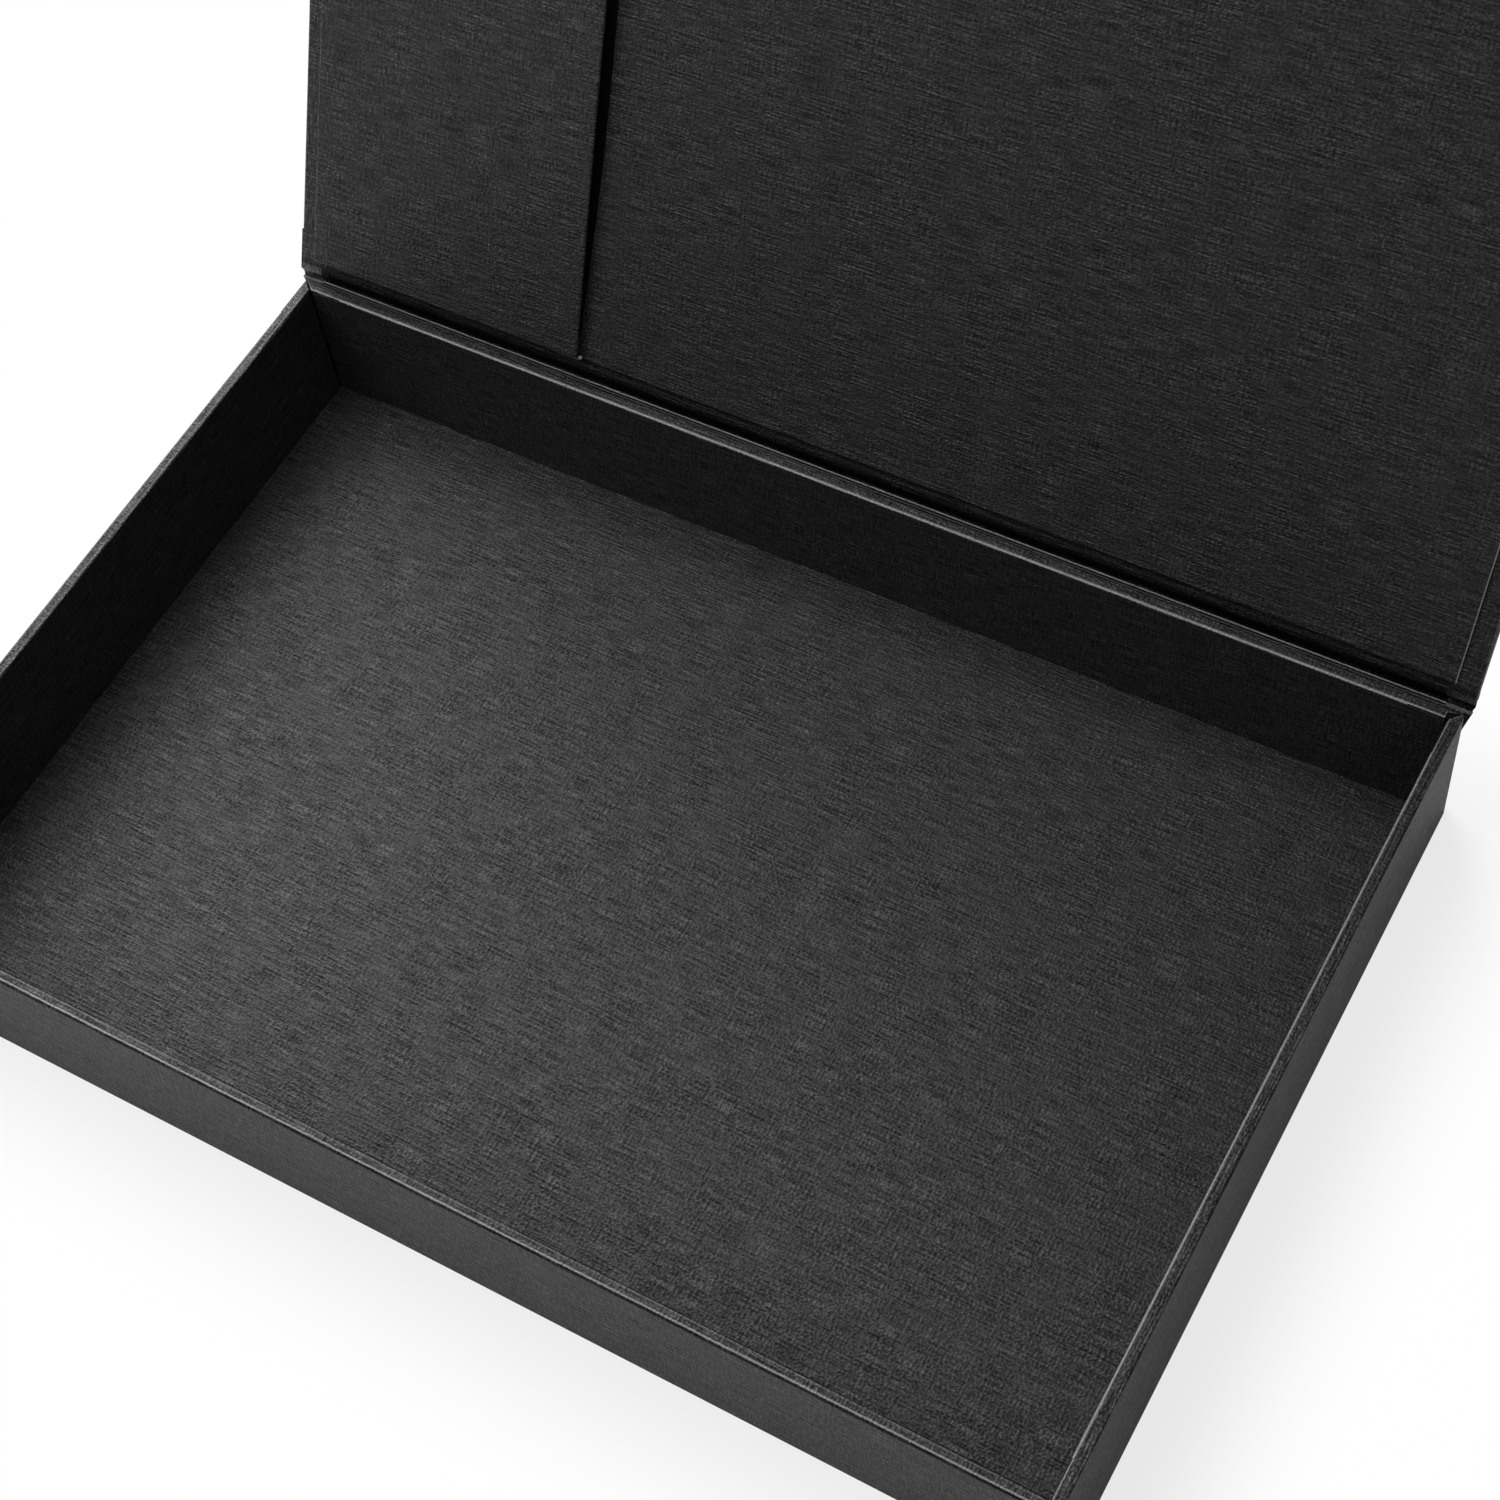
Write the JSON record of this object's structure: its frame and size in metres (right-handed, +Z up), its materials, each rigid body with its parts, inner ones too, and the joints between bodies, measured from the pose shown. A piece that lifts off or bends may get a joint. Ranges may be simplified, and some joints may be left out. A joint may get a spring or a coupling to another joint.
{
  "type": "invitation box",
  "caption": "Shallow rectangular presentation box with a hinged lid panel, a card pocket inside the lid and a folding closing flap with a hidden magnetic catch.",
  "frame": {"origin": "under the middle of the tray's underside, on the surface it rests on", "axes": "+Z up, +X along the lid hinge, -Y towards the front wall where the flap closes"},
  "size_m": [0.232, 0.2153, 0.1983],
  "materials": {
    "outer_linen": "black linen-embossed wrapping paper, soft satin",
    "hinge_linen": "black linen-embossed hinge paper",
    "lining_linen": "black linen-embossed lining card, matt",
    "grey_board": "raw solid grey board",
    "keeper_steel": "plain steel disc",
    "magnet_nickel": "nickel-plated magnet"
  },
  "bodies": {
    "tray": {"floor_board": "grey_board", "base_cover": "outer_linen", "floor_lining": "lining_linen", "front_wall_board": "grey_board", "right_wall_board": "grey_board", "back_wall_board": "grey_board", "left_wall_board": "grey_board", "front_wall_cover": "outer_linen", "right_wall_cover": "outer_linen", "back_wall_cover": "outer_linen", "left_wall_cover": "outer_linen", "keeper_discs": "keeper_steel", "spine_board": "grey_board", "spine_cover": "outer_linen", "spine_hinge_strip": "hinge_linen", "hinge_fold": "hinge_linen"},
    "lid": {"lid_board": "grey_board", "lid_cover": "outer_linen", "lid_hinge_strip": "hinge_linen", "flap_hinge_strip": "hinge_linen", "lid_lining": "lining_linen", "pocket_panel": "lining_linen", "pocket_side_tab": "lining_linen", "pocket_rear_tab": "lining_linen", "pocket_front_tab": "lining_linen", "pocket_hem": "lining_linen"},
    "flap": {"flap_board": "grey_board", "flap_cover": "outer_linen", "flap_lining": "lining_linen", "flap_magnets": "magnet_nickel"}
  },
  "joints": [
    {"name": "lid_hinge", "type": "hinge", "parent": "tray", "child": "lid", "pos_m": [0, 0.07575, 0.031], "axis": [1, 0, 0], "range_deg": [-65.5, 114.5]},
    {"name": "flap_hinge", "type": "hinge", "parent": "lid", "child": "flap", "pos_m": [0, 0.14059, 0.17003], "axis": [1, 0, 0], "range_deg": [-40, 50]}
  ]
}
